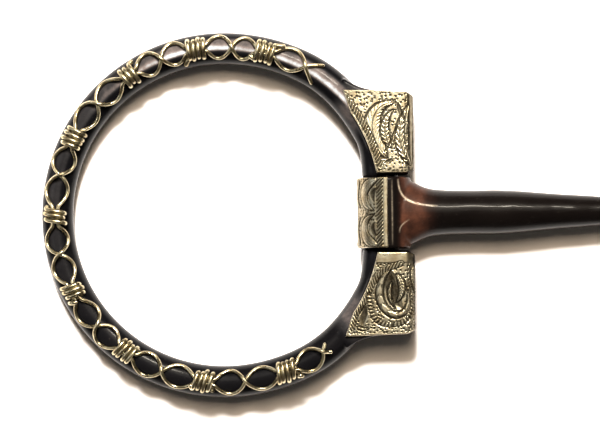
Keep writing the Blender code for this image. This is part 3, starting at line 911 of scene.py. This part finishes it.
def lower_design(relief):
    """A leaf scroll in a dark hollow inside two curved borders, with a small leaf in the corner."""
    hollow = bezier([(1.0, 14.4), (0.6, 18.6), (1.6, 22.6), (4.2, 24.4)])
    inner_scroll = [(1.2, 14.0), (-3.4, 17.6), (-2.4, 24.8), (2.2, 25.6)]
    outer_scroll = [(5.2, 25.6), (6.2, 22.2), (4.8, 18.6)]
    bar_side = [(-8.9, 29.4), (-7.9, 25.6), (-5.2, 21.6), (-3.9, 18.4), (-2.4, 15.8)]
    barrel_side = [(-0.2, 14.0), (3.6, 12.9)]
    mouth_leaf = bezier([(7.8, 12.4), (6.2, 15.6), (7.0, 19.0), (8.8, 21.6)])
    right_leaf = bezier([(2.4, 15.4), (4.4, 17.6), (4.2, 20.6), (2.2, 22.6)])
    left_leaf = bezier([(1.2, 17.4), (0.2, 20.2), (0.6, 22.4), (2.2, 24.0)])
    corner_leaf = bezier([(-7.6, 28.4), (-6.8, 29.0), (-5.8, 29.2), (-4.6, 29.0)])
    left_border = bezier([(-4.3, 20.6), (-4.6, 27.0), (-1.6, 28.4), (1.6, 28.0)])
    right_border = bezier([(1.6, 28.0), (5.2, 27.8), (7.4, 24.6), (6.8, 20.6)])
    corner_hollow = bezier([(-5.2, 22.8), (-5.6, 25.0), (-6.0, 27.0), (-6.2, 28.8)])
    relief.hollow(hollow, 2.5, depth=0.36, dirt=0.94)
    scroll = bezier(inner_scroll + outer_scroll)
    relief.leaf(scroll, 1.05, dome=0.22, hatch=2.4, lean=1.2, vein=False)
    relief.leaf(right_leaf, 1.0, hatch=0.75, lean=0.5)
    relief.leaf(left_leaf, 0.55, dome=0.26, hatch=1.4)
    relief.leaf(mouth_leaf, 0.85, hatch=0.9)
    relief.rope(bar_side + barrel_side)
    relief.rope(left_border, width=0.6, lean=0.2)
    relief.rope(right_border, width=0.6, lean=0.2)
    relief.hollow(corner_hollow, 1.15, depth=0.35)
    relief.leaf(corner_leaf, 0.5, vein=False)
    relief.plain([(-3.0, 11.0), (9.0, 11.0)], 1.5)
    relief.stipple(pitch=0.85, depth=0.15, seed=8)


def overlay_dirt_and_shade(places, rim, cuts, upper):
    """Dirt in the cuts, darker along the rim, grime in clouds, painted shade at the hinge end and the
    mouth side's bend, and darker towards the outer end; the lower sheet gets painted shade all over and
    painted light at its hinge end.
    """
    dirt = cuts * smoothstep(0.15, 0.5, rim) + 0.25 * smoothstep(0.5, 0.1, rim)
    grime = smoothstep(0.0, 0.9, smooth_noise(np.c_[places, places[:, :1]], 7, 13 + upper))
    hinge_end = smoothstep(SHOULDER_END_Y + 2.2, SHOULDER_END_Y + 0.6, places[:, 1])
    mouth_side = smoothstep(5.8, 7.6, places[:, 0])
    if not upper:
        # Lower sheet: dirt and grime, painted shade all over and at the mouth side's bend, and painted
        # light at its hinge end.
        return np.maximum(dirt, 0.30 + 0.34 * grime + 0.6 * mouth_side - 0.34 * hinge_end)
    outer_end = smoothstep(SHOULDER_OUTER_Y - 1.6, SHOULDER_OUTER_Y - 0.4, places[:, 1])
    # Upper sheet: grime, painted shade at the hinge end and the mouth side's bend, and darker towards
    # the outer end.
    grime_and_shade = 0.16 * grime + 0.70 * hinge_end + 0.9 * mouth_side + 0.3 * outer_end
    return np.maximum(0.8 * dirt, np.clip(grime_and_shade, 0, 0.93))


def overlay_shape(upper):
    places, bend = overlay_places()
    relief = Relief(places)
    if upper:
        upper_design(relief)
    else:
        lower_design(relief)
    rim = rim_distance(*OVERLAY_GRID, places)
    height = relief.height * smoothstep(0.1, 0.5, rim) + 0.05 - rounded_off(rim, 0.35)
    height += 0.02 * smooth_noise(np.c_[places, places[:, :1]], 5, 9)
    front = on_sheet(places, np.minimum(height, 0.25), bend)
    back = on_sheet(places, np.full(len(places), -OVERLAY_THICKNESS), bend)
    points = np.vstack([front, back])
    faces = shell_faces(*OVERLAY_GRID)
    if not upper:
        points = points * (1, -1, 1)
        faces = reversed_faces(faces)
    dirt = overlay_dirt_and_shade(places, rim, relief.dirt, upper)
    return points, faces, {"dirt": np.concatenate([dirt, np.full(len(places), BACK_SHADE)])}


def band_design(relief, width):
    """Leaf scrolls round the barrel, and a rope border beside the plain rim at its mouth side."""
    edge = width / 2
    half = BAND_LENGTH / 2
    outer_leaf = bezier([(9.0, 8.2), (3.6, 7.0), (3.4, 2.0), (8.0, 0.5)])
    inner_leaf = bezier([(3.0, 8.0), (0.4, 5.4), (0.6, 2.4), (3.6, 1.2)])
    hollow = bezier([(8.8, 6.0), (7.4, 5.4), (7.2, 3.4), (8.4, 2.2)])
    for around in (0.0, -8.6, -15.4):
        for flip in (1, -1):
            shift, turn = np.array((around, 0.0)), np.array((1, flip))
            relief.leaf(shift + turn * outer_leaf, 1.35, dome=0.25)
            relief.leaf(shift + turn * inner_leaf, 1.1)
            relief.hollow(shift + turn * hollow, 0.85)
    rope_line = np.c_[np.full(30, edge - 2.1), np.linspace(0.05 - half, half - 0.05, 30)]
    relief.rope(rope_line, width=0.85, pitch=0.95, lean=1.1)
    relief.plain([(edge, -9.0), (edge, 9.0)], 1.3)
    relief.stipple(pitch=0.8, depth=0.08, seed=12)


def band_shape():
    """The engraved half sleeve, its relief laid out flat and rolled round the barrel."""
    rows, columns = BAND_GRID
    degrees = np.linspace(90 - BAND_WRAP, 270 + BAND_WRAP, rows)
    across = np.linspace(-BAND_LENGTH / 2, BAND_LENGTH / 2, columns)
    turn, y = (grid.ravel() for grid in np.meshgrid(np.radians(degrees), across, indexing="ij"))
    places = np.c_[(np.pi - turn) * BAND_OUTER, y]
    relief = Relief(places)
    band_design(relief, np.radians(180 + 2 * BAND_WRAP) * BAND_OUTER)
    rim = rim_distance(rows, columns, places)
    height = relief.height * smoothstep(0.05, 0.4, rim) + 0.02 - rounded_off(rim, 0.25)

    def rolled(radius):
        return np.c_[radius * np.cos(turn), y, radius * np.sin(turn)]

    front = rolled(BAND_OUTER + np.minimum(height, 0.1))
    points = np.vstack([front, rolled(BAND_INNER)])
    dirt = relief.dirt * smoothstep(0.1, 0.4, rim) + 0.2 * smoothstep(0.4, 0.05, rim)
    grime = smoothstep(0.0, 0.9, smooth_noise(np.c_[places, places[:, :1]], 6, 21))
    # Painted shade on the side of the band that turns away from the top.
    steep_side_shade = smoothstep(6.4, 2.0, places[:, 0])
    dirt = np.maximum(dirt, 0.26 + 0.28 * grime + 0.36 * steep_side_shade)
    dirt = np.concatenate([dirt, np.full(len(places), BACK_SHADE)])
    return points, reversed_faces(shell_faces(rows, columns)), {"dirt": dirt}


# --- cannon ----------------------------------------------------------------------------------

FLARE_GLINTS = [  # painted glints on the trimmed face: their course, width and strength
    ([(2.9, 8.2), (3.0, 4.0), (5.0, 1.8), (12.5, 1.5)], 0.17, 0.9),
    ([(3.2, -5.0), (3.0, -3.4), (4.4, -2.6), (5.6, -1.8)], 0.14, 0.35),
    ([(1.3, 8.0), (1.4, 3.0), (1.4, -3.0), (1.3, -8.0)], 0.16, 0.25),
]


def cannon_skin():
    """The flared and tapered bar, without its barrel and eye."""
    rows, columns = CANNON_GRID
    distance, half_y, half_z = np.array(CANNON_SECTIONS).T
    x = np.linspace(distance[0], distance[-1], rows)
    wide = softened(np.interp(x, distance, half_y), 12)
    deep = softened(np.interp(x, distance, half_z), 12)
    turn = np.linspace(0, FULL_TURN, columns, endpoint=False)
    y = wide[:, None] * np.cos(turn)
    z = deep[:, None] * np.sin(turn)
    points = np.stack([np.broadcast_to(x[:, None], y.shape), y, z], axis=-1).reshape(-1, 3)
    faces = grid_faces(rows, columns, wrap_columns=True)
    faces.append(tuple(range(columns)))
    faces.append(tuple(range(rows * columns - 1, (rows - 1) * columns - 1, -1)))
    return points, faces


def eye_skin(upright):
    """The eye, flat or standing, centred half its own radius short of the mouth's middle."""
    rows, columns = EYE_GRID
    centre = PIN_X - EYE_RADIUS / 2
    around = np.linspace(0, FULL_TURN, rows, endpoint=False)
    section = np.linspace(0, FULL_TURN, columns, endpoint=False)
    reach = EYE_RADIUS + EYE_BAR * np.cos(section)[None, :]
    along = centre + reach * np.cos(around)[:, None]
    side = reach * np.sin(around)[:, None]
    rise = np.broadcast_to(EYE_BAR * np.sin(section)[None, :], side.shape)
    axes = [along, rise, side] if upright else [along, side, rise]
    faces = grid_faces(rows, columns, wrap_columns=True, wrap_rows=True)
    return np.stack(axes, axis=-1).reshape(-1, 3), faces


def cannon_shape(upright):
    """The cannon with its barrel and eye as one forging, a little wavy along its length."""
    barrel = cylinder(BARREL_RADIUS, BARREL_LENGTH / 2, BARREL_SIDES)
    parts = [cannon_skin(), barrel, eye_skin(upright)]
    points, faces = sculpted(parts, CANNON_VOXEL, smoothing=9, bore_half_length=12)
    grip = smoothstep(10, 20, points[:, 0]) * smoothstep(61, 50, points[:, 0])
    points[:, 2] += grip * 0.15 * smooth_noise(points, 11, 31)
    points[:, 1] += grip * 0.05 * smooth_noise(points, 13, 32)
    patina = smoothstep(2.2, 4.2, points[:, 0]) * smoothstep(14, 7.5, points[:, 0])
    patina *= 0.75 + 0.25 * smooth_noise(points, 4, 33)
    # Painted glints along the flare's ridges and by the barrel, on the upper side only.
    painted_glint = np.zeros(len(points))
    for line, width, strength in FLARE_GLINTS:
        distance, _, share, _ = nearest_on_line(points[:, :2], bezier(line))
        fade = np.sin(np.pi * np.clip(0.12 + 0.8 * share, 0, 1))
        painted_glint = np.maximum(painted_glint, strength * fade * np.exp(-((distance / width) ** 2)))
    painted_glint *= smoothstep(0.5, 2.0, points[:, 2])
    return points, faces, {"patina": np.clip(patina, 0, 1), "painted_glint": np.clip(painted_glint, 0, 1)}


# --- assembly --------------------------------------------------------------------------------

cheek_pieces = {
    "cheek_ring": (*cheek_ring_shape(), "blued_iron", blued_iron),
    "upper_overlay": (*overlay_shape(True), "engraved_silver", engraved_silver),
    "lower_overlay": (*overlay_shape(False), "engraved_silver", engraved_silver),
    "outer_strand": (*strand_shape(0), "trim_wire", trim_wire),
    "inner_strand": (*strand_shape(1), "trim_wire", trim_wire),
}
for index in range(len(WRAP_ANGLES)):
    cheek_pieces[f"wire_wrap_{index + 1}"] = (*wrap_shape(index), "trim_wire", trim_wire)
band = band_shape()

for side in ("left", "right"):
    cheek_place = placement(side, RING_DROOP)
    mouth_place = placement(side, 0.0)
    for piece, (points, faces, attributes, slot, material) in cheek_pieces.items():
        node = f"{side}_{piece}"
        new_piece(
            f"{node}_look", points, faces, cheek_place, f"{side}_cheek", [node], material,
            attributes,
        )
    points, faces, attributes = cannon_shape(side == "right")
    new_piece(
        f"{side}_cannon_look", points, faces, mouth_place, f"{side}_mouth", [f"{side}_cannon"],
        browned_iron, attributes,
    )
    points, faces, attributes = band
    new_piece(
        f"{side}_barrel_band_look", points, faces, mouth_place, f"{side}_mouth",
        [f"{side}_barrel_band"], engraved_silver, attributes,
    )
    pin = frame["nodes"][f"{side}_hinge_pin"]
    for place in pin.material_slots:
        place.material = blued_iron


# --- table, light and camera -----------------------------------------------------------------


def table():
    size, top = 3.0, -0.0001  # just clear of the engraving on the bands' undersides
    mesh = bpy.data.meshes.new("table")
    corners = [(-size, -size, top), (size, -size, top), (size, size, top), (-size, size, top)]
    mesh.from_pydata(corners, [], [(0, 1, 2, 3)])
    obj = bpy.data.objects.new("table", mesh)
    bpy.context.scene.collection.objects.link(obj)
    nodes = Nodes("table_white")
    white = nodes.ramp(nodes.noise(6, 3), [(0.3, (0.80, 0.80, 0.81)), (0.7, (0.84, 0.84, 0.845))])
    nodes.link(white, "Base Color")
    nodes.shader.inputs["Roughness"].default_value = 0.75
    nodes.shader.inputs["Emission Color"].default_value = (1.0, 0.85, 0.70, 1)
    nodes.shader.inputs["Emission Strength"].default_value = 0.02
    mesh.materials.append(nodes.material)


LIGHTS = [  # name, place, target, width and height, power, colour, what it lights
    ("sun", (-0.20, 0.66, 1.0), (-0.07, 0, 0), (0.24, 0.24), 50, (1.0, 0.96, 0.92), "matt"),
    ("sky", (-0.10, 0.40, 1.05), (-0.07, 0, 0), (0.4, 0.4), 8, (1.0, 0.80, 0.60), "matt"),
    ("key", (0.12, 0.62, 1.16), (-0.07, 0, 0), (0.40, 0.09), 13, (1.0, 0.93, 0.80), "shiny"),
    ("panel", (-0.06, 0.40, 0.95), (-0.06, 0.40, 0), (0.7, 0.72), 2.9, (1.0, 0.96, 0.88), "shiny"),
    ("side", (-1.0, 0.15, 0.75), (-0.1, 0, 0), (0.5, 0.5), 1.3, (0.92, 0.96, 1.0), "shiny"),
]


def area_light(name, place, target, size, power, colour, lights):
    """A rectangular light that lights either matt surfaces or reflections in shiny ones."""
    light = bpy.data.lights.new(name, "AREA")
    light.shape = "RECTANGLE"
    light.size, light.size_y = size
    light.energy = power
    light.color = colour
    obj = bpy.data.objects.new(name, light)
    obj.location = place
    obj.rotation_euler = (Vector(target) - Vector(place)).to_track_quat("-Z", "Y").to_euler()
    obj.visible_diffuse = lights == "matt"
    obj.visible_glossy = lights == "shiny"
    bpy.context.scene.collection.objects.link(obj)


def world_light():
    world = bpy.data.worlds.new("studio")
    bpy.context.scene.world = world
    world.use_nodes = True
    background = world.node_tree.nodes["Background"]
    background.inputs["Color"].default_value = (1.0, 0.90, 0.79, 1)
    background.inputs["Strength"].default_value = 0.07


def main_camera():
    """Nearly straight above the left cheek, with the mouthpiece running off to the right."""
    data = bpy.data.cameras.new("camera")
    data.sensor_width = 36
    data.lens = 141.5
    data.clip_start = 0.01
    obj = bpy.data.objects.new("camera", data)
    obj.location = (-0.0955, -0.0150, 0.6)
    turn = Matrix.Rotation(math.radians(-0.32), 4, "Y")
    turn @= Matrix.Rotation(math.radians(1.41), 4, "X")
    turn @= Matrix.Rotation(math.radians(-0.61), 4, "Z")
    obj.rotation_euler = turn.to_euler()
    bpy.context.scene.collection.objects.link(obj)
    bpy.context.scene.camera = obj


table()
world_light()
for light in LIGHTS:
    area_light(*light)
main_camera()
bpy.context.scene.view_settings.view_transform = "Standard"
bpy.context.scene.view_settings.gamma = 0.82
